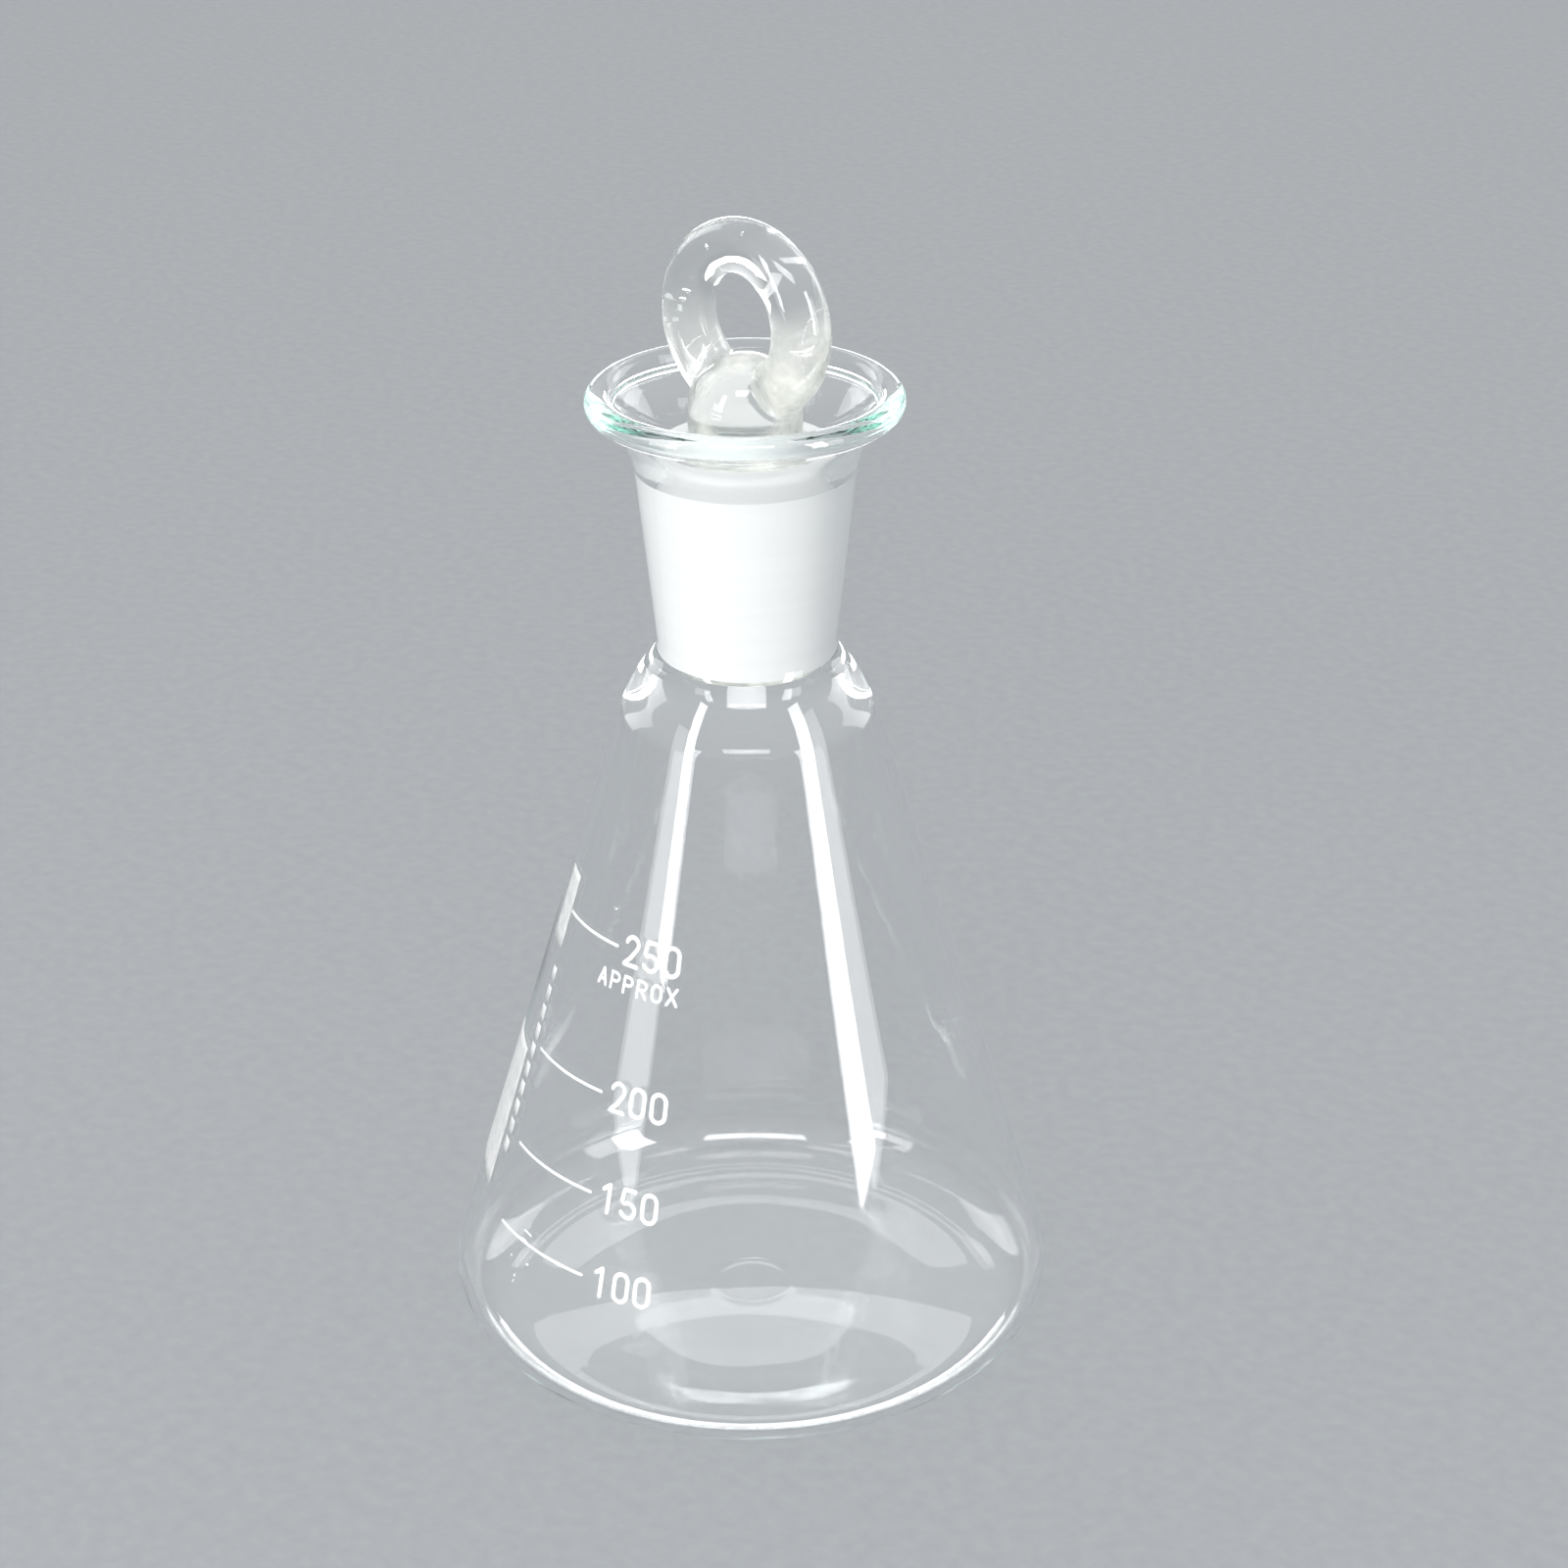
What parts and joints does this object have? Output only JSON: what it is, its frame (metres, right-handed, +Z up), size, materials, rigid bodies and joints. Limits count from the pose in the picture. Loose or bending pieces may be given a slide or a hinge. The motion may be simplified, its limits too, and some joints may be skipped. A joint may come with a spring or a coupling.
{
  "type": "erlenmeyer flask",
  "caption": "Conical laboratory flask of clear glass with a flared mouth cup, a ground neck socket, a ground stopper with a ring handle and a white printed scale",
  "frame": {"origin": "on the flask's axis, at the level of the surface it stands on", "axes": "+Z up along the flask's axis, +X along the plane of the stopper's ring, -Y the side that the printed scale faces"},
  "size_m": [0.085, 0.085, 0.1634],
  "materials": {
    "clear_glass": "clear, fire polished, faintly green where it is thick",
    "ground_glass": "ground, milky white",
    "white_enamel": "fired white enamel print, semi-matte"
  },
  "bodies": {
    "flask": {"graduation_100": "white_enamel", "graduation_150": "white_enamel", "graduation_200": "white_enamel", "graduation_250": "white_enamel", "ground_socket": "ground_glass", "label_bar": "white_enamel", "label_patch": "white_enamel", "mouth_bead": "clear_glass", "mouth_cup": "clear_glass", "numeral_100_digit_1": "white_enamel", "numeral_100_digit_2": "white_enamel", "numeral_100_digit_3": "white_enamel", "numeral_150_digit_1": "white_enamel", "numeral_150_digit_2": "white_enamel", "numeral_150_digit_3": "white_enamel", "numeral_200_digit_1": "white_enamel", "numeral_200_digit_2": "white_enamel", "numeral_200_digit_3": "white_enamel", "numeral_250_digit_1": "white_enamel", "numeral_250_digit_2": "white_enamel", "numeral_250_digit_3": "white_enamel", "vessel_base": "clear_glass", "vessel_shoulder": "clear_glass", "vessel_wall": "clear_glass", "word_letter_1": "white_enamel", "word_letter_2": "white_enamel", "word_letter_3": "white_enamel", "word_letter_4": "white_enamel", "word_letter_5": "white_enamel", "word_letter_6": "white_enamel", "writing_panel": "white_enamel"},
    "stopper": {"stopper_plug": "ground_glass", "stopper_knuckle": "clear_glass", "stopper_loop": "clear_glass"}
  },
  "joints": [
    {"name": "stopper_lift", "type": "slide", "parent": "flask", "child": "stopper", "axis": [0, 0, 1], "range_m": [0, 0.06]}
  ]
}
